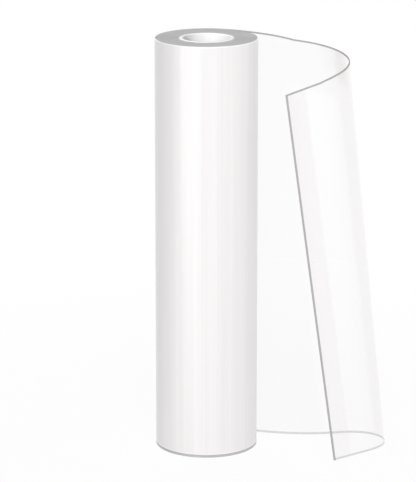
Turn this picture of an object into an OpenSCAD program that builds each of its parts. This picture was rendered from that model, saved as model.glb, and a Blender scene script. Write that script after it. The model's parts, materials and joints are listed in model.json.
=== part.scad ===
// Roll of clear protective film, standing on one end, with its outer turn unwound into a curling tail
// The roll axis is Z and the roll stands on z = 0. Lengths are millimetres and angles are degrees.

/* [Roll] */
// Width of the film web, which is the length of the roll and of its core
film_width = 450; // [300:5:600]
// Thickness of one layer of film, which is also how much each turn adds to the radius
film_thickness = 1; // [0.8:0.1:1.2]
// Full turns of film wound tight on the core, under the last lap
turns = 25; // [12:1:34]

/* [Core] */
// Bore of the core tube, 2 inches, the standard size for a hand roll
core_bore = 50.8; // [38.1:0.1:60]
// Wall thickness of the core tube
core_wall = 4.1; // [3:0.1:6]
// Small chamfer that breaks the outer edge of each end of the core tube
core_chamfer = 0.6; // [0.3:0.1:1.2]
// Gap on the radius between the core tube and the first turn, so that the two stay separate solids
core_fit = 0.05; // [0.03:0.01:0.2]

/* [Turn lines] */
// Width of the line between two turns on the ends of the roll
line_width = 0.3; // [0.2:0.05:0.5]
// Depth of the line between two turns on the ends of the roll
line_depth = 0.4; // [0.2:0.1:1]

/* [Tail] */
// Where the tail leaves the roll, measured from straight back, turning to the right
leave_angle = 28; // [15:1:40]
// Length of the gently bowed start of the tail along its lower edge
foot_lead = 122; // [110:1:150]
// Angle that the lower edge bows outward over its start
foot_bow = 39; // [20:1:50]
// Length of the curl along the lower edge
foot_curl_length = 111; // [95:1:130]
// Angle that the lower edge turns through in the curl
foot_curl = 152; // [125:1:160]
// Length of the straight end of the lower edge, up to the free edge
foot_end = 46; // [20:1:60]
// Length of the start of the tail along its upper edge
head_lead = 78; // [65:1:100]
// Angle that the upper edge bends forward over its start
head_bend = 8; // [0:1:20]
// Length of the curl along the upper edge
head_curl_length = 187; // [170:1:220]
// Angle that the upper edge turns through in the curl
head_curl = 93; // [75:1:105]
// Length of the straight end of the upper edge, up to the free edge
head_end = 55; // [20:1:70]

/* [Hidden] */
$fn = 96;
cut_margin = 1; // how far a cutting shape runs past the surface that it cuts
core_radius = core_bore / 2 + core_wall;
web_bore_radius = core_radius + core_fit;
wound_radius = web_bore_radius + turns * film_thickness;
root_sink = 0.15; // how far the tail's inner face starts inside the roll, so that it parts from it cleanly
root_run = 8; // straight start of the tail, where it parts from the roll
lead_steps = 14;
curl_steps = 30;
end_steps = 4;
tail_steps = lead_steps + curl_steps + end_steps;
tail_levels = 8; // rows of faces up the height of the tail
// Each edge of the tail in plan, and the place of each value in its list
foot_edge = [foot_lead, -foot_bow, foot_curl_length, foot_curl, foot_end];
head_edge = [head_lead, head_bend, head_curl_length, head_curl, head_end];
lead_length = 0;
lead_turn = 1;
curl_length = 2;
curl_turn = 3;
end_length = 4;

// A smooth start and stop between 0 and 1
function ease(u) = u * u * (3 - 2 * u);

// Share of the curl that is done at a station, from 0 to 1
function curl_share(station) = min(1, max(0, (station - lead_steps) / curl_steps));

// Direction of an edge at a station, measured clockwise from the way the tail leaves, as seen from above
function heading(edge, station) =
    edge[lead_turn] * min(1, station / lead_steps) + edge[curl_turn] * ease(curl_share(station));

// Distance from a station to the next one
function stride(edge, station) =
    station < lead_steps ? (edge[lead_length] - root_run) / lead_steps
    : station < lead_steps + curl_steps ? edge[curl_length] / curl_steps
    : edge[end_length] / end_steps;

// Move from a station to the next one
function move(edge, station) =
    let (turn = heading(edge, station + 0.5)) stride(edge, station) * [cos(turn), -sin(turn)];

// Direction across the film at a station, pointing away from the side that faced the roll
function across(edge, station) =
    let (turn = heading(edge, station)) [sin(turn), cos(turn)];

// Route of an edge in plan, from the end of the straight start to the free edge
function route(edge) = [
    for (
        station = 0, place = [root_run, wound_radius];
        station <= tail_steps;
        place = place + move(edge, station), station = station + 1
    ) place
];

// Height of the upper edge over the lower one, which keeps the web at its full width as it leans
function lean_height(reach) = sqrt(film_width * film_width - reach * reach);

// One point of the tail's skin, from 0 at the lower edge to 1 at the upper one
function skin_point(low, high, share) = low * (1 - share) + high * share;

// Two triangles for a four-cornered patch of the tail's skin
function patch(a, b, c, d) = [[a, c, b], [a, d, c]];

// Half ring over y > 0, or only the part of it that starts at the left
module half_ring(inner, outer, height, sweep = 180) {
    rotate([0, 0, 180 - sweep])
        rotate_extrude(angle = sweep)
            translate([inner, 0]) square([outer - inner, height]);
}

// A spiral is drawn as half rings: those over y < 0 sit half a layer to the left and are half a layer larger
module lower_half() {
    translate([-film_thickness / 2, 0, 0]) rotate([0, 0, 180]) children();
}

// All the wound turns as one solid, up to the straight start of the tail, which leaves along +X
module wound_turns() {
    half_ring(0, wound_radius, film_width);
    lower_half() half_ring(0, wound_radius + film_thickness / 2, film_width);
    half_ring(wound_radius - film_thickness / 2, wound_radius + film_thickness, film_width, 90);
    translate([0, wound_radius - root_sink, 0])
        cube([root_run, film_thickness + root_sink, film_width]);
}

// The spiral line between the turns, standing a little past the end face
module turn_line() {
    for (turn = [1 : turns]) {
        radius = web_bore_radius + turn * film_thickness - line_width / 2;
        half_ring(radius, radius + line_width, line_depth + cut_margin, turn < turns ? 180 : 90);
        lower_radius = radius - film_thickness / 2;
        if (turn > 1) lower_half()
            half_ring(lower_radius, lower_radius + line_width, line_depth + cut_margin);
    }
}

// The free tail: straight across its width, with a lower edge on the ground and a leaning upper edge
module tail() {
    foot = route(foot_edge);
    head = route(head_edge);
    points = [
        for (station = [0 : tail_steps], level = [0 : tail_levels], side = [0, 1])
            let (
                sink = station == 0 && side == 0 ? -root_sink : side * film_thickness,
                low = foot[station] + sink * across(foot_edge, station),
                high = head[station] + sink * across(head_edge, station),
                rise = lean_height(norm(head[station] - foot[station]))
            )
            skin_point([low[0], low[1], 0], [high[0], high[1], rise], level / tail_levels)
    ];
    row = 2 * (tail_levels + 1);
    inner_side = [
        for (station = [0 : tail_steps - 1], level = [0 : tail_levels - 1])
            let (at = station * row + level * 2)
            each patch(at, at + row, at + row + 2, at + 2)
    ];
    outer_side = [
        for (station = [0 : tail_steps - 1], level = [0 : tail_levels - 1])
            let (at = station * row + level * 2 + 1)
            each patch(at, at + 2, at + row + 2, at + row)
    ];
    long_edges = [
        for (station = [0 : tail_steps - 1])
            let (low = station * row, high = low + row - 2)
            each concat(patch(low, low + 1, low + row + 1, low + row),
                        patch(high, high + row, high + row + 1, high + 1))
    ];
    cut_edges = [
        for (level = [0 : tail_levels - 1])
            let (root = level * 2, free = tail_steps * row + level * 2)
            each concat(patch(root, root + 2, root + 3, root + 1),
                        patch(free, free + 1, free + 3, free + 2))
    ];
    polyhedron(points, concat(inner_side, outer_side, long_edges, cut_edges));
}

module core() {
    color("white") difference() {
        cylinder(h = film_width, r = core_radius);
        translate([0, 0, -cut_margin]) cylinder(h = film_width + 2 * cut_margin, d = core_bore);
        rim_cut();
        translate([0, 0, film_width]) mirror([0, 0, 1]) rim_cut();
    }
}

// Ring that breaks the outer edge at the lower end of the core tube
module rim_cut() {
    rotate_extrude()
        polygon([
            [core_radius - core_chamfer, -cut_margin],
            [core_radius - core_chamfer, 0],
            [core_radius, core_chamfer],
            [core_radius + cut_margin, core_chamfer],
            [core_radius + cut_margin, -cut_margin]
        ]);
}

module film() {
    color([0.85, 0.9, 0.95, 0.5]) rotate([0, 0, -leave_angle]) difference() {
        union() {
            wound_turns();
            tail();
        }
        translate([0, 0, -cut_margin]) cylinder(h = film_width + 2 * cut_margin, r = web_bore_radius);
        translate([0, 0, film_width - line_depth]) turn_line();
        translate([0, 0, -cut_margin]) turn_line();
    }
}

core();
film();
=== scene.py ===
"""Looks of a roll of clear protective film on end, with its outer turn unwound into a curling tail."""

import json
import math

import bpy
from bpy.props import FloatProperty, FloatVectorProperty, IntProperty, PointerProperty
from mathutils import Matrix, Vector


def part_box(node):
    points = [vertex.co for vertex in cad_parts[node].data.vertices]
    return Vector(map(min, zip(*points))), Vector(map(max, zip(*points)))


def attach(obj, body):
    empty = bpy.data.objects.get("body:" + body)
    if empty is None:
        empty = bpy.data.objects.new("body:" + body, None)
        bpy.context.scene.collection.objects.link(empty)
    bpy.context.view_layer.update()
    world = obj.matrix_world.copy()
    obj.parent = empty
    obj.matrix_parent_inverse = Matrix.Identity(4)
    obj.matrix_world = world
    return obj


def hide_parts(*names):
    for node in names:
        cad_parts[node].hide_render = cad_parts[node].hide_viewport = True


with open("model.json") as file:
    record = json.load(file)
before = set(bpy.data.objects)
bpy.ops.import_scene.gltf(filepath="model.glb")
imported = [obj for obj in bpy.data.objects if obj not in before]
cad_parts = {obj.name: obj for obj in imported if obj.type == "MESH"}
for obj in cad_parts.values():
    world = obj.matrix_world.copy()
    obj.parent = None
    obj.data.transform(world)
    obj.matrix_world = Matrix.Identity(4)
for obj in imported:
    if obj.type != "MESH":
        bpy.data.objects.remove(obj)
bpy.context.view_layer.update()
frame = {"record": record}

bl_info = {
    "name": "Protective Film Roll",
    "version": (1, 0, 0),
    "blender": (4, 5, 0),
    "location": "3D View > Sidebar > Film Roll",
    "description": "Makes the wound film, its free tail, the core tube and the stage around them",
    "category": "Add Mesh",
}

CORE_LOW, CORE_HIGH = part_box("core")
MM_PER_METRE = 1000
CORE_BORE = next(mount for mount in frame["record"]["mounts"] if mount["name"] == "core_bore")
BORE_RADIUS = CORE_BORE["dims"]["r_mm"] / MM_PER_METRE
PHOTO_WIDTH = 416
PHOTO_HEIGHT = 482
WHITE = (1.0, 1.0, 1.0, 1.0)

# What a sum of fractions may be off by
SLACK = 1e-9

# Sockets of nodes that name several of them alike, by their place on the node
MIX_SHARE, MIX_FIRST, MIX_SECOND, MIX_COLOUR = 0, 6, 7, 2
SHADER_FIRST, SHADER_SECOND = 1, 2

# How many waves of each noise fit in a metre, along X, Y and Z
WIDE_STREAKS = (75.0, 75.0, 0.9)
FINE_STREAKS = (420.0, 420.0, 2.2)
END_DRIFT = (38.0, 38.0, 38.0)
TAIL_STREAKS = (26.0, 26.0, 1.2)
TUBE_RINGS = (6.0, 6.0, 700.0)
TUBE_CLOUDS = (55.0, 55.0, 30.0)

# Painted bands round the wound film's outer face, in metres down from its upper end and up from the floor:
# a painted highlight along the upper rim, and at the foot a band of painted shade with a thin painted
# highlight line above it
RIM_HIGHLIGHT_BAND = 0.0014
FOOT_SHADE_TOP = 0.0032
FOOT_HIGHLIGHT_TOP = 0.0042
FOOT_SHADE_COLOUR = (0.5, 0.5, 0.505)

# Widths of two lines at the tail's cut edges, in cut edge bands, and how much the lower line covers
FREE_LINE_WIDTH = 1.4
FOOT_LINE_WIDTH = 1.5
FOOT_LINE_COVER = 0.3

# Where the tail's veils and its painted shade inside the curl begin to fade and where they end, in metres
# from the edge they start at
ROOT_FADE = (0.002, 0.009)
ROLL_FADE = (0.1, 0.125)
FREE_FADE = (0.022, 0.03)
CURL_FADE = (0.14, 0.17)
UPPER_FADE = (0.046, 0.062)
HEAD_FADE = (0.02, 0.048)

# How far two of these fades shift for each metre up the film
ROLL_SLANT = 0.096
FREE_SLANT = 0.012

# From 0 face on to 1 edge on, where the tail begins to darken and where it is darkest at its upper edge,
# and how much earlier that is for each metre down
TURNED_RANGE = (0.4, 0.52)
TURNED_SLANT = 0.3

# How much the streaks, the darkening where the tail is seen edge on, and the painted shade inside its curl
# cover
STREAK_VEIL = 0.006
TURNED_SHEEN = 0.048
HEAD_CURL_SHADE = 0.36
HEAD_CURL_SHADE_POWER = 1.6

# Where the floor's shadow begins to fade and where it ends, in metres from the roll's axis
SHADOW_FADE = (0.15, 0.8)

# Points along each turn of the film, and how far past the last full turn the tail leaves, in turns
LAP_STEPS = 120
TAIL_LAP = 0.25

# Slow waves that the turns' ends drift in: how fast each one runs from turn to turn, and where it starts
DRIFT_WAVES = ((5.1, 0.0), (2.3, 1.7), (0.9, 0.4))

# Rows of points between the ends of the wound film and of the core tube, as shares of their length
OUTER_LEVELS = (0.985, 0.93, 0.8, 0.6, 0.4, 0.2, 0.07, 0.015)
TUBE_LEVELS = (0.002, 0.006, 0.014, 0.03, 0.07, 0.15, 0.3, 0.5, 0.7, 0.85, 0.93, 0.97, 0.986, 0.994, 0.998)

# The wound film's two materials, by their place on it
WOUND_FACE, CUT_END = 0, 1

# The tail's skin is smooth, and its edges are sharper than this
CUT_EDGE_ANGLE = math.radians(40)


class FilmRollCore(bpy.types.PropertyGroup):
    """Sizes and colours of the core tube"""

    outer_radius: FloatProperty(
        name="Outer radius",
        description="Outside radius of the core tube",
        default=CORE_HIGH[0],
        unit="LENGTH",
    )
    bore_radius: FloatProperty(
        name="Bore radius",
        description="Inside radius of the core tube",
        default=BORE_RADIUS,
        unit="LENGTH",
    )
    length: FloatProperty(
        name="Length",
        description="Length of the core tube, which is the width of the film",
        default=CORE_HIGH[2] - CORE_LOW[2],
        unit="LENGTH",
    )
    rim_rounding: FloatProperty(
        name="Rim rounding",
        description="Radius that breaks the edges of the tube's ends",
        default=0.0006,
        unit="LENGTH",
    )
    # Painted shade: the wall is a grey darker than the white tube, standing for the shade inside the bore
    colour: FloatVectorProperty(
        name="Tube colour",
        description="Colour of the tube's wall",
        subtype="COLOR",
        default=(0.62, 0.62, 0.62),
    )
    rim_colour: FloatVectorProperty(
        name="Rim colour",
        description="Colour of the tube's cut ends",
        subtype="COLOR",
        default=(0.72, 0.72, 0.72),
    )


class FilmRollWeb(bpy.types.PropertyGroup):
    """Sizes and colours of the film where it is wound tight"""

    thickness: FloatProperty(
        name="Film thickness",
        description="Thickness of one layer of film, which is also what each turn adds to the radius",
        default=0.001,
        unit="LENGTH",
    )
    turns: IntProperty(
        name="Turns",
        description="Full turns of film under the last lap",
        default=25,
    )
    core_fit: FloatProperty(
        name="Fit on the core",
        description="Gap on the radius between the core tube and the first turn",
        default=0.00005,
        unit="LENGTH",
    )
    line_width: FloatProperty(
        name="Turn line width",
        description="Width of the line between two turns on the ends of the roll",
        default=0.0003,
        unit="LENGTH",
    )
    line_depth: FloatProperty(
        name="Turn line depth",
        description="Depth of the line between two turns on the ends of the roll",
        default=0.0004,
        unit="LENGTH",
    )
    unevenness: FloatProperty(
        name="Winding unevenness",
        description="How far single turns stand back from the end of the roll",
        default=0.00025,
        unit="LENGTH",
    )
    rim_rounding: FloatProperty(
        name="Rim rounding",
        description="Radius of the outer turn's edge at both ends of the roll",
        default=0.0012,
        unit="LENGTH",
    )
    colour: FloatVectorProperty(
        name="Wound colour",
        description="Colour of many layers of film seen through each other",
        subtype="COLOR",
        default=(0.856, 0.838, 0.837),
    )
    end_colour: FloatVectorProperty(
        name="End colour",
        description="Colour of the cut ends of the turns",
        subtype="COLOR",
        default=(0.54, 0.54, 0.54),
    )


class FilmRollTail(bpy.types.PropertyGroup):
    """Sizes and colours of the film's free tail"""

    leave_angle: FloatProperty(
        name="Leaving angle",
        description="Where the tail leaves the roll, from straight back, turning to the right",
        default=math.radians(28),
        subtype="ANGLE",
    )
    root_run: FloatProperty(
        name="Straight start",
        description="Straight stretch where the tail parts from the roll",
        default=0.008,
        unit="LENGTH",
    )
    root_sink: FloatProperty(
        name="Root sink",
        description="How far the tail's inner face starts inside the roll",
        default=0.00015,
        unit="LENGTH",
    )
    foot_lead: FloatProperty(
        name="Lower start",
        description="Length of the bowed start along the lower edge",
        default=0.122,
        unit="LENGTH",
    )
    foot_bow: FloatProperty(
        name="Lower bow",
        description="Angle that the lower edge bows outward over its start",
        default=math.radians(39),
        subtype="ANGLE",
    )
    foot_curl_length: FloatProperty(
        name="Lower curl length",
        description="Length of the curl along the lower edge",
        default=0.111,
        unit="LENGTH",
    )
    foot_curl: FloatProperty(
        name="Lower curl",
        description="Angle that the lower edge turns through in the curl",
        default=math.radians(152),
        subtype="ANGLE",
    )
    foot_end: FloatProperty(
        name="Lower end",
        description="Length of the straight end of the lower edge",
        default=0.046,
        unit="LENGTH",
    )
    head_lead: FloatProperty(
        name="Upper start",
        description="Length of the start along the upper edge",
        default=0.078,
        unit="LENGTH",
    )
    head_bend: FloatProperty(
        name="Upper bend",
        description="Angle that the upper edge bends forward over its start",
        default=math.radians(8),
        subtype="ANGLE",
    )
    head_curl_length: FloatProperty(
        name="Upper curl length",
        description="Length of the curl along the upper edge",
        default=0.187,
        unit="LENGTH",
    )
    head_curl: FloatProperty(
        name="Upper curl",
        description="Angle that the upper edge turns through in the curl",
        default=math.radians(93),
        subtype="ANGLE",
    )
    head_end: FloatProperty(
        name="Upper end",
        description="Length of the straight end of the upper edge",
        default=0.055,
        unit="LENGTH",
    )
    edge_band: FloatProperty(
        name="Cut edge band",
        description="Width of the grey line that a cut edge of clear film shows",
        default=0.0016,
        unit="LENGTH",
    )
    colour: FloatVectorProperty(
        name="Clear colour",
        description="Tint of a single layer of film",
        subtype="COLOR",
        default=(0.69, 0.595, 0.595),
    )
    edge_colour: FloatVectorProperty(
        name="Cut edge colour",
        description="Colour of the film's cut edges",
        subtype="COLOR",
        default=(0.48, 0.47, 0.475),
    )
    veil: FloatProperty(
        name="Veil",
        description="How much one face of the clear film covers what lies behind it, near the roll",
        default=0.04,
        min=0.0,
        max=1.0,
    )
    edge_veil: FloatProperty(
        name="Veil at the free edge",
        description="How much one face of the clear film covers what lies behind it, near the free edge",
        default=0.078,
        min=0.0,
        max=1.0,
    )


class FilmRollStage(bpy.types.PropertyGroup):
    """Camera, light and floor"""

    camera_side: FloatProperty(
        name="Camera side",
        description="How far the camera stands to the right of the roll's axis",
        default=0.00126,
        unit="LENGTH",
    )
    camera_distance: FloatProperty(
        name="Camera distance",
        description="How far the camera stands in front of the roll's axis",
        default=2.90375,
        unit="LENGTH",
    )
    camera_height: FloatProperty(
        name="Camera height",
        description="Height of the camera over the floor",
        default=0.98077,
        unit="LENGTH",
    )
    camera_pitch: FloatProperty(
        name="Camera pitch",
        description="Angle that the camera looks down by",
        default=0.2538,
        subtype="ANGLE",
    )
    focal_pixels: FloatProperty(
        name="Focal length in photo pixels",
        description="Focal length of the camera, measured in pixels of the photo",
        default=2782.86,
    )
    ambient: FloatProperty(
        name="Surrounding light",
        description="Strength of the even light from all round",
        default=0.505,
    )
    key_power: FloatProperty(
        name="Key power",
        description="Power of the large soft lamp over the camera",
        default=32.0,
        unit="POWER",
    )
    side_power: FloatProperty(
        name="Side power",
        description="Power of the low soft lamp to the left of the camera",
        default=6.6,
        unit="POWER",
    )
    tube_power: FloatProperty(
        name="Tube power",
        description="Power of the lamp that shines into the core tube alone",
        default=43.0,
        unit="POWER",
    )
    back_power: FloatProperty(
        name="Back power",
        description="Power of the large soft lamp behind the roll",
        default=11.0,
        unit="POWER",
    )
    floor_colour: FloatVectorProperty(
        name="Floor colour",
        description="Colour of the floor",
        subtype="COLOR",
        default=(0.97, 0.97, 0.97),
    )
    floor_shadow: FloatProperty(
        name="Floor shadow",
        description="Share of the floor's look that comes from light and shadow, the rest is plain white",
        default=0.07,
        min=0.0,
        max=1.0,
    )


class FilmRollSettings(bpy.types.PropertyGroup):
    """All sizes and colours of the film roll"""

    core: PointerProperty(type=FilmRollCore, name="Core", description="The core tube")
    web: PointerProperty(type=FilmRollWeb, name="Wound film", description="The wound turns")
    tail: PointerProperty(type=FilmRollTail, name="Tail", description="The free tail")
    stage: PointerProperty(type=FilmRollStage, name="Stage", description="Camera, light and floor")


class Value:
    """A node socket that can be used in sums, so that shader maths reads as ordinary Python."""

    def __init__(self, graph, socket):
        self.graph = graph
        self.socket = socket

    def maths(self, operation, *values):
        """A Math node on these values."""
        node = self.graph.node("ShaderNodeMath", {"operation": operation}, dict(enumerate(values)))
        return Value(self.graph, node.outputs[0])

    def __add__(self, other):
        return self.maths("ADD", self, other)

    def __radd__(self, other):
        return self.maths("ADD", other, self)

    def __sub__(self, other):
        return self.maths("SUBTRACT", self, other)

    def __rsub__(self, other):
        return self.maths("SUBTRACT", other, self)

    def __mul__(self, other):
        return self.maths("MULTIPLY", self, other)

    def __rmul__(self, other):
        return self.maths("MULTIPLY", other, self)

    def __truediv__(self, other):
        return self.maths("DIVIDE", self, other)

    def __pow__(self, other):
        return self.maths("POWER", self, other)

    def below(self, limit):
        """1 where this value is under the limit, and 0 elsewhere."""
        return self.maths("LESS_THAN", self, limit)

    def least(self, other):
        """The smaller of two values."""
        return self.maths("MINIMUM", self, other)

    def most(self, other):
        """The larger of two values."""
        return self.maths("MAXIMUM", self, other)


class Graph:
    """The nodes of one material, or of the world, started empty."""

    def __init__(self, owner):
        self.owner = owner
        self.owner.use_nodes = True
        self.tree = self.owner.node_tree
        self.tree.nodes.clear()

    def node(self, kind, settings=None, sockets=None):
        """A node of any type: its settings first, then the values or links of its sockets."""
        node = self.tree.nodes.new(kind)
        for name, setting in (settings or {}).items():
            setattr(node, name, setting)
        for key, value in (sockets or {}).items():
            socket = node.inputs[key]
            if isinstance(value, Value):
                self.tree.links.new(value.socket, socket)
            else:
                socket.default_value = value
        return node

    def value(self, kind, output, settings=None, sockets=None):
        """One output of a node of any type, ready for sums."""
        return Value(self, self.node(kind, settings, sockets).outputs[output])

    def attribute(self, name):
        """A number that the mesh holds at each point."""
        return self.value("ShaderNodeAttribute", "Fac", {"attribute_name": name})

    def own_place(self):
        """The place of a point in the object's own coordinates."""
        return self.value("ShaderNodeTexCoord", "Object")

    def blend(self, share, first, second):
        """A colour between two colours."""
        sockets = {MIX_SHARE: share, MIX_FIRST: opaque(first), MIX_SECOND: opaque(second)}
        return self.value("ShaderNodeMix", MIX_COLOUR, {"data_type": "RGBA"}, sockets)

    def stretched_noise(self, stretch, detail=2.0, roughness=0.5):
        """Noise over the object's own coordinates, stretched by a factor along each axis."""
        sockets = {"Vector": self.own_place(), "Scale": stretch}
        scaled = self.value("ShaderNodeMapping", "Vector", None, sockets)
        sockets = {"Vector": scaled, "Scale": 1.0, "Detail": detail, "Roughness": roughness}
        return self.value("ShaderNodeTexNoise", "Fac", None, sockets)

    def falling(self, value, start, end):
        """1 up to one number, 0 from another on, and smooth between them."""
        sockets = {"Value": value, "From Min": start, "From Max": end, "To Min": 1.0, "To Max": 0.0}
        return self.value("ShaderNodeMapRange", "Result", {"interpolation_type": "SMOOTHSTEP"}, sockets)

    def bump(self, height, strength, distance):
        """A normal bent by a height."""
        sockets = {"Height": height, "Strength": strength, "Distance": distance}
        return self.value("ShaderNodeBump", "Normal", None, sockets)

    def seen_straight(self):
        """1 for what the camera, gloss or clear film sees, and 0 for the light that falls on things."""
        path = self.node("ShaderNodeLightPath")
        rays = ("Is Camera Ray", "Is Glossy Ray", "Is Transmission Ray")
        camera, glossy, clear = (Value(self, path.outputs[name]) for name in rays)
        return (camera + glossy + clear).least(1.0)

    def finish(self, shader, output="BSDF", end="ShaderNodeOutputMaterial"):
        """Send a shader to the last node, and hand back the material or the world."""
        self.node(end, None, {"Surface": Value(self, shader.outputs[output])})
        return self.owner


def opaque(colour):
    """A colour with four channels, or the link that gives one."""
    if isinstance(colour, Value):
        return colour
    return (*tuple(colour)[:3], 1.0)


def tinted(colour, factor):
    """A colour made lighter or darker by a factor."""
    return tuple(min(1.0, channel * factor) for channel in tuple(colour)[:3])


def wound_material(web):
    """Milky look of many wound layers, with faint streaks along the roll from the tension of winding,
    painted light that is lighter towards the bottom, a painted highlight at the upper rim and painted shade
    at the foot.
    """
    g = Graph(bpy.data.materials.new("wound_film"))
    wide_streaks = g.stretched_noise(WIDE_STREAKS, detail=3.0, roughness=0.6)
    fine_streaks = g.stretched_noise(FINE_STREAKS)
    fine_share = 0.25
    streaks = wide_streaks * (1.0 - fine_share) + fine_streaks * fine_share
    height = g.value("ShaderNodeSeparateXYZ", "Z", None, {"Vector": g.own_place()})
    from_rim = g.attribute("rim_distance")
    from_foot = g.attribute("foot_distance")
    darkest, lightest = tinted(web.colour, 0.8), tinted(web.colour, 1.18)
    # Painted light: the roll is lighter towards the bottom and a little darker at the top, by height alone
    lower, upper = tinted(web.colour, 1.14), tinted(web.colour, 0.99)
    painted_edge_highlight = tinted(web.colour, 1.12)
    streaked = g.blend(streaks, darkest, lightest)
    painted_height_light = g.blend(height / CORE_HIGH[2], lower, upper)
    painted_height_share = 0.25
    body = g.blend(painted_height_share, streaked, painted_height_light)
    # Painted highlight in a thin band along the upper rim
    with_rim = g.blend(from_rim.below(RIM_HIGHLIGHT_BAND), body, painted_edge_highlight)
    # Painted highlight line just above the painted shade at the foot
    above_shade = from_foot.below(FOOT_HIGHLIGHT_TOP) - from_foot.below(FOOT_SHADE_TOP)
    with_foot = g.blend(above_shade, with_rim, painted_edge_highlight)
    # Painted shade: a grey band round the foot of the roll, where it meets the floor
    colour = g.blend(from_foot.below(FOOT_SHADE_TOP), with_foot, FOOT_SHADE_COLOUR)
    sockets = {
        "Base Color": colour,
        "Roughness": 0.3 + streaks * 0.14,
        "Specular IOR Level": 0.75,
        "Anisotropic": 0.85,
        "Anisotropic Rotation": 0.25,
        "Coat Weight": 0.1,
        "Coat Roughness": 0.3,
        "Normal": g.bump(streaks, strength=0.12, distance=0.0008),
    }
    return g.finish(g.node("ShaderNodeBsdfPrincipled", None, sockets))


def end_material(web):
    """Grey look of the cut ends of the turns, each turn a little lighter or darker than the next, with
    painted shade in the grooves between turns.
    """
    g = Graph(bpy.data.materials.new("cut_ends"))
    lap = g.attribute("turn")
    turn = lap.maths("FLOOR", lap)
    per_turn = g.value("ShaderNodeTexWhiteNoise", "Value", {"noise_dimensions": "1D"}, {"W": turn})
    drift = g.stretched_noise(END_DRIFT)
    drift_share = 0.4
    share = per_turn * (1.0 - drift_share) + drift * drift_share
    darkest, lightest = tinted(web.end_colour, 0.93), tinted(web.end_colour, 1.07)
    painted_groove_shade_colour = tinted(web.end_colour, 0.72)
    face = g.blend(share, darkest, lightest)
    # Painted shade in the grooves between turns, darkest at their bottom
    colour = g.blend(g.attribute("groove"), face, painted_groove_shade_colour)
    sockets = {
        "Base Color": colour,
        "Roughness": 0.5 + share * 0.1,
        "Specular IOR Level": 0.4,
        "Normal": g.bump(drift, strength=0.1, distance=0.0004),
    }
    return g.finish(g.node("ShaderNodeBsdfPrincipled", None, sockets))


def clear_material(tail, web):
    """A single layer of clear film: a faint veil, darker where it is seen edge on, with grey cut edges and
    painted shade inside its curl.
    """
    g = Graph(bpy.data.materials.new("clear_film"))
    from_free = g.attribute("from_free_edge")
    from_foot = g.attribute("from_foot")
    from_head = g.attribute("from_head")
    from_root = g.attribute("from_root")
    streaks = g.stretched_noise(TAIL_STREAKS)
    grazing = g.value("ShaderNodeLayerWeight", "Facing", None, {"Blend": 0.5})
    free_line = from_free.below(tail.edge_band * FREE_LINE_WIDTH)
    cut_line = free_line.most(from_head.below(tail.edge_band))
    foot_line = from_foot.below(tail.edge_band * FOOT_LINE_WIDTH)
    lines = cut_line.most(foot_line * FOOT_LINE_COVER)
    root = g.falling(from_root, *ROOT_FADE)
    near_roll = g.falling(from_root + from_foot * ROLL_SLANT, *ROLL_FADE)
    near_free = g.falling(from_free - from_foot * FREE_SLANT, *FREE_FADE)
    before_curl = g.falling(from_root, *CURL_FADE)
    upper_zone = before_curl * g.falling(from_head, *UPPER_FADE)
    # Painted shade inside the curl, near the upper edge before it turns
    near_head = before_curl * g.falling(from_head, *HEAD_FADE)
    turned_away = 1.0 - g.falling(grazing + from_head * TURNED_SLANT, *TURNED_RANGE)
    veil = near_roll.most(upper_zone) * tail.veil + near_free * tail.edge_veil + streaks * STREAK_VEIL
    edge_on_and_curl_shade = turned_away * TURNED_SHEEN + near_head * grazing ** HEAD_CURL_SHADE_POWER * HEAD_CURL_SHADE
    cover = lines.most(root).most(veil.most(edge_on_and_curl_shade))
    tint = g.blend(root, tail.colour, web.colour)
    colour = g.blend(cut_line.most(foot_line), tint, tail.edge_colour)
    sockets = {
        "Base Color": colour,
        "Roughness": (0.08 + streaks * 0.06).most(root * 0.5).most(lines),
        "Specular IOR Level": 0.5,
        "Alpha": cover,
        "Normal": g.bump(streaks, strength=0.15, distance=0.001),
    }
    return g.finish(g.node("ShaderNodeBsdfPrincipled", None, sockets))


def tube_material(core):
    """Smooth white tube wall with fine rings left by the cutting and drawing of the tube, its wall coloured
    grey as painted shade for the inside of the bore.
    """
    g = Graph(bpy.data.materials.new("core_tube"))
    rings = g.stretched_noise(TUBE_RINGS, roughness=0.6)
    clouds = g.stretched_noise(TUBE_CLOUDS, detail=3.0)
    share = rings * 0.5 + clouds * 0.5
    # The wall's grey is painted shade of the bore
    darkest, lightest = tinted(core.colour, 0.95), tinted(core.colour, 1.06)
    wall = g.blend(share, darkest, lightest)
    cut_face = g.attribute("cut_face")
    colour = g.blend(cut_face, wall, core.rim_colour)
    wall_coat = 0.4
    sockets = {
        "Base Color": colour,
        "Roughness": 0.26 + share * 0.12 + cut_face * 0.3,
        "Specular IOR Level": 0.5,
        "Coat Weight": wall_coat - cut_face * wall_coat,
        "Coat Roughness": 0.15,
        "Normal": g.bump(rings, strength=0.06, distance=0.0003),
    }
    return g.finish(g.node("ShaderNodeBsdfPrincipled", None, sockets))


def floor_material(stage):
    """White floor that takes a faint shadow and shows as plain white to the camera and in gloss."""
    g = Graph(bpy.data.materials.new("white_floor"))
    diffuse = g.value("ShaderNodeBsdfDiffuse", "BSDF", None, {"Color": opaque(stage.floor_colour)})
    white = g.value("ShaderNodeEmission", "Emission", None, {"Color": WHITE, "Strength": 1.0})
    distance = g.value("ShaderNodeVectorMath", "Value", {"operation": "LENGTH"}, {"Vector": g.own_place()})
    shadow = stage.floor_shadow * g.falling(distance, *SHADOW_FADE)
    sockets = {"Fac": g.seen_straight() * (1.0 - shadow), SHADER_FIRST: diffuse, SHADER_SECOND: white}
    return g.finish(g.node("ShaderNodeMixShader", None, sockets), "Shader")


def place_in_roll(tail, x, y):
    """A point of the frame in which the tail leaves along +X, turned to where the tail really leaves."""
    c, s = math.cos(-tail.leave_angle), math.sin(-tail.leave_angle)
    return x * c - y * s, x * s + y * c


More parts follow.
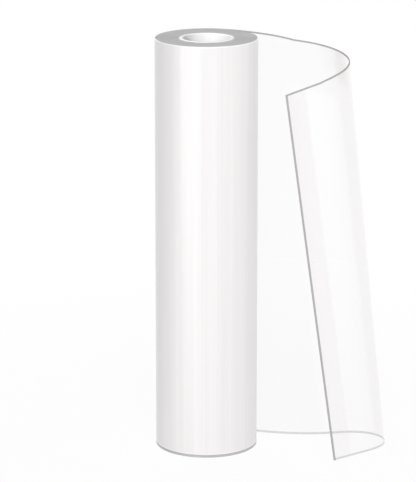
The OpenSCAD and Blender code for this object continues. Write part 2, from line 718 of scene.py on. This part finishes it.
def first_radius(settings):
    """Inner radius of the first turn."""
    return settings.core.outer_radius + settings.web.core_fit


def wound_radius(settings):
    """Radius of the wound turns under the last lap."""
    return first_radius(settings) + settings.web.turns * settings.web.thickness


def lap_place(settings, lap, offset):
    """A point of the winding: its laps from the start, and its offset out from the layer's inner face."""
    pitch = settings.web.thickness
    whole = math.floor(lap + SLACK)
    part = lap - whole
    radius = first_radius(settings) + whole * pitch + offset
    angle = math.pi - math.tau * part
    shift = 0.0
    on_the_core = whole == 0 and offset == 0.0
    if part > 0.5 and not on_the_core:
        shift = -pitch / 2
        radius += pitch / 2
    return place_in_roll(settings.tail, shift + radius * math.cos(angle), radius * math.sin(angle))


def new_piece(name, vertices, faces, materials, node, numbers):
    """A smooth mesh that rides on the frame and stands for its solid, with a number per point by name."""
    mesh = bpy.data.meshes.new(name)
    mesh.from_pydata(vertices, [], faces)
    mesh.validate()
    mesh.polygons.foreach_set("use_smooth", [True] * len(mesh.polygons))
    for material in materials:
        mesh.materials.append(material)
    for label, values in numbers.items():
        attribute = mesh.attributes.new(label, "FLOAT", "POINT")
        attribute.data.foreach_set("value", values)
    piece = bpy.data.objects.new(name, mesh)
    bpy.context.scene.collection.objects.link(piece)
    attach(piece, "root")
    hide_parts(node)
    return piece


def strip_faces(rows, columns):
    """Faces of a grid of points, given row by row."""
    faces = []
    for row in range(rows - 1):
        for column in range(columns - 1):
            a = row * columns + column
            b = a + columns
            faces.append((a, b, b + 1, a + 1))
    return faces


def quarter_round(radius, offset, height, start):
    """Points of a quarter circle about a centre, in the plane of a layer's section."""
    steps = 4
    turns = [start - math.pi / 2 * step / steps for step in range(steps + 1)]
    return [(offset + radius * math.cos(turn), height + radius * math.sin(turn)) for turn in turns]


def uneven(settings, lap):
    """How far a turn stands back from the end of the roll, which drifts slowly from turn to turn."""
    wave = sum(math.sin(lap * pace + start) for pace, start in DRIFT_WAVES)
    return settings.web.unevenness * (wave / (2 * len(DRIFT_WAVES)) + 0.5)


def end_profile(settings, lap):
    """Section of one turn's cut end, groove to groove: offset, depth below the end, and groove shade."""
    web = settings.web
    half = web.line_width / 2
    back = uneven(settings, lap)
    shoulder, shoulder_shade = back + half * 0.6, 0.35
    return [
        (0.0, back + web.line_depth, 1.0),
        (half, shoulder, shoulder_shade),
        (half * 2, back, 0.0),
        (web.thickness - half * 2, back, 0.0),
        (web.thickness - half, shoulder, shoulder_shade),
        (web.thickness, back + web.line_depth, 1.0),
    ]


def outer_profile(settings):
    """Section of the outer face, from the groove at the upper end to the one at the lower end."""
    web = settings.web
    length = settings.core.length
    half = web.line_width / 2
    lip_shade = 0.2
    edge = min(web.rim_rounding, web.thickness - web.line_width)
    upper_round = quarter_round(edge, web.thickness - edge, length - edge, math.pi / 2)
    lower_round = quarter_round(edge, web.thickness - edge, edge, 0.0)
    section = [(0.0, length - web.line_depth, 1.0), (half, length, lip_shade)]
    section += [(offset, height, 0.0) for offset, height in upper_round]
    section += [(web.thickness, share * length, 0.0) for share in OUTER_LEVELS]
    section += [(offset, height, 0.0) for offset, height in lower_round]
    section += [(half, 0.0, lip_shade), (0.0, web.line_depth, 1.0)]
    return section


def wound_turns(settings):
    """The wound film: its cut ends with a spiral of turns, and its outer face."""
    web = settings.web
    length = settings.core.length
    last = web.turns + TAIL_LAP
    stations = [step / LAP_STEPS for step in range(round(last * LAP_STEPS) + 1)]
    vertices, faces, ends = [], [], []
    numbers = {"turn": [], "groove": [], "rim_distance": [], "foot_distance": []}

    def add(lap, offset, height, shade):
        """One point of the piece with what its material needs."""
        x, y = lap_place(settings, lap, offset)
        vertices.append((x, y, height))
        numbers["turn"].append(lap)
        numbers["groove"].append(shade)
        numbers["rim_distance"].append(length - height)
        numbers["foot_distance"].append(height)

    inner = [lap for lap in stations if lap <= last - 1 + SLACK]
    end_faces = strip_faces(len(inner), len(end_profile(settings, 0)))
    for upper in (True, False):
        start = len(vertices)
        for lap in inner:
            for offset, drop, shade in end_profile(settings, lap):
                add(lap, offset, length - drop if upper else drop, shade)
        faces += [tuple(start + i for i in (face[::-1] if upper else face)) for face in end_faces]
        ends += [CUT_END] * len(end_faces)

    outer = [lap for lap in stations if lap >= last - 1 - SLACK]
    section = outer_profile(settings)
    start = len(vertices)
    for lap in outer:
        for offset, height, shade in section:
            add(lap, offset, height, shade)
    outer_faces = strip_faces(len(outer), len(section))
    faces += [tuple(start + i for i in face[::-1]) for face in outer_faces]
    columns = len(section) - 1
    lip_columns = 2
    across = [lip_columns <= column < columns - lip_columns for column in range(columns)]
    ends += [WOUND_FACE if across[index % columns] else CUT_END for index in range(len(outer_faces))]

    materials = [wound_material(web), end_material(web)]
    piece = new_piece("film_wound", vertices, faces, materials, "film", numbers)
    piece.data.polygons.foreach_set("material_index", ends)


def ease(share):
    """A smooth start and stop between 0 and 1."""
    return share * share * (3 - 2 * share)


def edge_route(settings, lead, lead_turn, curl_length, curl, end):
    """Route of one long edge of the tail in plan: places, and headings clockwise from +X."""
    lead_steps, curl_steps, end_steps = 42, 120, 12
    root_run = settings.tail.root_run

    def heading(step):
        """The way that the edge runs, a number of steps from the end of its straight start."""
        curled = ease(min(1.0, max(0.0, (step - lead_steps) / curl_steps)))
        return lead_turn * min(1.0, step / lead_steps) + curl * curled

    x, y = root_run, wound_radius(settings)
    places, headings = [(0.0, y), (x, y)], [0.0, 0.0]
    strides = [(lead - root_run) / lead_steps] * lead_steps
    strides += [curl_length / curl_steps] * curl_steps
    strides += [end / end_steps] * end_steps
    for step, stride in enumerate(strides):
        x += stride * math.cos(heading(step + 0.5))
        y -= stride * math.sin(heading(step + 0.5))
        places.append((x, y))
        headings.append(heading(step + 1))
    return places, headings


def travelled(places):
    """Distance along a route at each of its places."""
    total, out = 0.0, [0.0]
    for before, after in zip(places, places[1:]):
        total += math.dist(before, after)
        out.append(total)
    return out


def lifted(place, heading, lift):
    """A place on a route, moved square to its heading, away from the side that faced the roll."""
    return place[0] + lift * math.sin(heading), place[1] + lift * math.cos(heading)


def between(first, second, share):
    """A number between two numbers."""
    return first + (second - first) * share


def free_tail(settings):
    """The free tail: straight across its width, its lower edge on the floor, its upper edge leaning out."""
    tail, web = settings.tail, settings.web
    width = settings.core.length
    foot, foot_headings = edge_route(
        settings, tail.foot_lead, -tail.foot_bow, tail.foot_curl_length, tail.foot_curl, tail.foot_end
    )
    head, head_headings = edge_route(
        settings, tail.head_lead, tail.head_bend, tail.head_curl_length, tail.head_curl, tail.head_end
    )
    foot_along, head_along = travelled(foot), travelled(head)
    band = tail.edge_band / width
    near_edge = [0.0, band * 0.5, band, band * 2]
    levels = 40  # from the lower edge to the upper one
    shares = near_edge + [level / levels for level in range(1, levels)]
    shares += [1 - share for share in reversed(near_edge)]
    rows, columns = len(foot), len(shares)
    sunk_rows = 2  # those of the straight start
    vertices = []
    numbers = {"from_free_edge": [], "from_root": [], "from_foot": [], "from_head": []}
    for side in (0, 1):
        for row in range(rows):
            rise = math.sqrt(width**2 - math.dist(foot[row], head[row]) ** 2)
            lift = side * web.thickness
            if side == 0 and row < sunk_rows:
                lift = -tail.root_sink
            low = lifted(foot[row], foot_headings[row], lift)
            high = lifted(head[row], head_headings[row], lift)
            for share in shares:
                x, y = (between(start, end, share) for start, end in zip(low, high))
                vertices.append((*place_in_roll(tail, x, y), rise * share))
                along = between(foot_along[row], head_along[row], share)
                total = between(foot_along[-1], head_along[-1], share)
                numbers["from_root"].append(along)
                numbers["from_free_edge"].append(total - along)
                numbers["from_foot"].append(share * width)
                numbers["from_head"].append((1 - share) * width)
    size = rows * columns
    grid = strip_faces(rows, columns)
    faces = [face[::-1] for face in grid] + [tuple(size + i for i in face) for face in grid]
    for row in range(rows - 1):
        low = row * columns
        high = low + columns - 1
        faces.append((low, low + columns, size + low + columns, size + low))
        faces.append((high, size + high, size + high + columns, high + columns))
    for column in range(columns - 1):
        root, free = column, (rows - 1) * columns + column
        faces.append((root, size + root, size + root + 1, root + 1))
        faces.append((free, free + 1, size + free + 1, size + free))
    materials = [clear_material(tail, web)]
    piece = new_piece("film_tail", vertices, faces, materials, "film", numbers)
    piece.data.set_sharp_from_angle(angle=CUT_EDGE_ANGLE)


def core_tube(settings):
    """The core tube, turned as one section: bore, cut ends, rounded rims and outside."""
    core = settings.core
    outer_edge, inner_edge = core.rim_rounding, core.rim_rounding * 0.7
    outer_bevel, inner_bevel = core.rim_rounding * 0.3, core.rim_rounding * 0.2
    top = core.length
    upper = [
        (core.bore_radius, top - inner_edge, 0.0),
        (core.bore_radius + inner_bevel, top - inner_bevel, 0.5),
        (core.bore_radius + inner_edge, top, 1.0),
        (core.outer_radius - outer_edge, top, 1.0),
        (core.outer_radius - outer_bevel, top - outer_bevel, 0.5),
        (core.outer_radius, top - outer_edge, 0.0),
    ]
    section = [(core.bore_radius, share * top, 0.0) for share in TUBE_LEVELS]
    section += upper
    section += [(core.outer_radius, share * top, 0.0) for share in reversed(TUBE_LEVELS)]
    section += [(radius, top - height, cut_face) for radius, height, cut_face in reversed(upper)]
    columns = len(section)
    around = 224
    vertices, cut_faces, faces = [], [], []
    for step in range(around):
        angle = math.tau * step / around
        for radius, height, cut_face in section:
            vertices.append((radius * math.cos(angle), radius * math.sin(angle), height))
            cut_faces.append(cut_face)
    for step in range(around):
        here, after = step * columns, (step + 1) % around * columns
        for column in range(columns):
            beside = (column + 1) % columns
            faces.append((here + column, here + beside, after + beside, after + column))
    numbers = {"cut_face": cut_faces}
    piece = new_piece("core_tube", vertices, faces, [tube_material(core)], "core", numbers)
    lit_by_tube_lamp().objects.link(piece)


def white_floor(stage):
    """A round floor that reaches past the camera's view."""
    radius, around = 9.0, 96
    angles = [math.tau * step / around for step in range(around)]
    vertices = [(0.0, 0.0, 0.0)]
    vertices += [(radius * math.cos(angle), radius * math.sin(angle), 0.0) for angle in angles]
    faces = [(0, 1 + i, 1 + (i + 1) % around) for i in range(around)]
    mesh = bpy.data.meshes.new("floor")
    mesh.from_pydata(vertices, [], faces)
    mesh.materials.append(floor_material(stage))
    floor = bpy.data.objects.new("floor", mesh)
    bpy.context.scene.collection.objects.link(floor)


def surroundings(stage):
    """Even light from all round, which shows as plain white to the camera and in gloss."""
    g = Graph(bpy.data.worlds.new("surroundings"))
    strength = g.seen_straight() * (1.0 - stage.ambient) + stage.ambient
    background = g.node("ShaderNodeBackground", None, {"Color": WHITE, "Strength": strength})
    bpy.context.scene.world = g.finish(background, "Background", "ShaderNodeOutputWorld")


def softbox(name, power, azimuth, distance, height, size):
    """A large soft lamp round the roll, its azimuth in degrees from the camera's side towards the right."""
    lamp = bpy.data.lights.new(name, "AREA")
    lamp.shape = "RECTANGLE"
    lamp.size, lamp.size_y = size
    lamp.energy = power
    turn = math.radians(azimuth)
    place = Vector((distance * math.sin(turn), -distance * math.cos(turn), height))
    aim = Vector((0.0, 0.0, CORE_HIGH[2] / 2))
    holder = bpy.data.objects.new(name, lamp)
    holder.location = place
    holder.rotation_euler = (aim - place).to_track_quat("-Z", "Y").to_euler()
    bpy.context.scene.collection.objects.link(holder)
    return holder


def lit_by_tube_lamp():
    """The pieces that the tube lamp shines on, and no other."""
    name = "lit_by_tube_lamp"
    return bpy.data.collections.get(name) or bpy.data.collections.new(name)


def photo_camera(stage):
    """The camera, where the photo was taken from."""
    lens = bpy.data.cameras.new("camera")
    lens.lens = stage.focal_pixels / max(PHOTO_WIDTH, PHOTO_HEIGHT) * lens.sensor_width
    lens.clip_end = 60.0
    camera = bpy.data.objects.new("camera", lens)
    camera.location = (stage.camera_side, -stage.camera_distance, stage.camera_height)
    camera.rotation_euler = (math.pi / 2 - stage.camera_pitch, 0.0, 0.0)
    bpy.context.scene.collection.objects.link(camera)
    bpy.context.scene.camera = camera


class FILMROLL_OT_stage(bpy.types.Operator):
    """Make the camera, the light and the floor"""

    bl_idname = "film_roll.stage"
    bl_label = "Make stage"

    def execute(self, context):
        """Build the stage around the roll."""
        stage = context.scene.film_roll.stage
        photo_camera(stage)
        white_floor(stage)
        surroundings(stage)
        key = softbox(
            "key_softbox", stage.key_power, azimuth=6.5, distance=2.4, height=1.2, size=(1.2, 1.3)
        )
        key.visible_glossy = False
        side = softbox(
            "side_softbox", stage.side_power, azimuth=-37, distance=1.1, height=0.2, size=(0.95, 0.7)
        )
        side.visible_diffuse = False
        tube = softbox(
            "tube_softbox", stage.tube_power, azimuth=-26, distance=2.0, height=1.1, size=(0.25, 0.25)
        )
        tube.light_linking.receiver_collection = lit_by_tube_lamp()
        softbox(
            "back_softbox", stage.back_power, azimuth=190, distance=1.9, height=1.2, size=(1.6, 1.6)
        )
        context.scene.view_settings.view_transform = "Standard"
        return {"FINISHED"}


class FILMROLL_OT_wound_film(bpy.types.Operator):
    """Make the wound turns of film, with their spiral cut ends"""

    bl_idname = "film_roll.wound_film"
    bl_label = "Make wound film"

    def execute(self, context):
        """Build the wound film."""
        wound_turns(context.scene.film_roll)
        return {"FINISHED"}


class FILMROLL_OT_free_tail(bpy.types.Operator):
    """Make the clear tail that has unwound from the roll"""

    bl_idname = "film_roll.free_tail"
    bl_label = "Make free tail"

    def execute(self, context):
        """Build the free tail."""
        free_tail(context.scene.film_roll)
        return {"FINISHED"}


class FILMROLL_OT_core_tube(bpy.types.Operator):
    """Make the white tube that the film is wound on"""

    bl_idname = "film_roll.core_tube"
    bl_label = "Make core tube"

    def execute(self, context):
        """Build the core tube."""
        core_tube(context.scene.film_roll)
        return {"FINISHED"}


class FILMROLL_PT_panel(bpy.types.Panel):
    """Lists the sizes, colours and makers of the film roll"""

    bl_idname = "FILMROLL_PT_panel"
    bl_label = "Film Roll"
    bl_space_type = "VIEW_3D"
    bl_region_type = "UI"
    bl_category = "Film Roll"

    def draw(self, context):
        """Show each group of values over its button."""
        settings = context.scene.film_roll
        for group, operator in (
            (settings.core, "film_roll.core_tube"),
            (settings.web, "film_roll.wound_film"),
            (settings.tail, "film_roll.free_tail"),
            (settings.stage, "film_roll.stage"),
        ):
            box = self.layout.box()
            for name in group.bl_rna.properties.keys():
                if name not in ("rna_type", "name"):
                    box.prop(group, name)
            box.operator(operator)


CLASSES = (
    FilmRollCore,
    FilmRollWeb,
    FilmRollTail,
    FilmRollStage,
    FilmRollSettings,
    FILMROLL_OT_stage,
    FILMROLL_OT_wound_film,
    FILMROLL_OT_free_tail,
    FILMROLL_OT_core_tube,
    FILMROLL_PT_panel,
)


def register():
    """Make the classes and the scene's settings known to Blender."""
    for each in CLASSES:
        bpy.utils.register_class(each)
    bpy.types.Scene.film_roll = PointerProperty(
        type=FilmRollSettings, name="Film roll", description="Sizes and colours of the film roll"
    )


def unregister():
    """Take the settings and the classes away again."""
    del bpy.types.Scene.film_roll
    for each in reversed(CLASSES):
        bpy.utils.unregister_class(each)


def main():
    """Build the whole scene."""
    register()
    bpy.ops.film_roll.stage()
    bpy.ops.film_roll.core_tube()
    bpy.ops.film_roll.wound_film()
    bpy.ops.film_roll.free_tail()


if __name__ == "__main__":
    main()
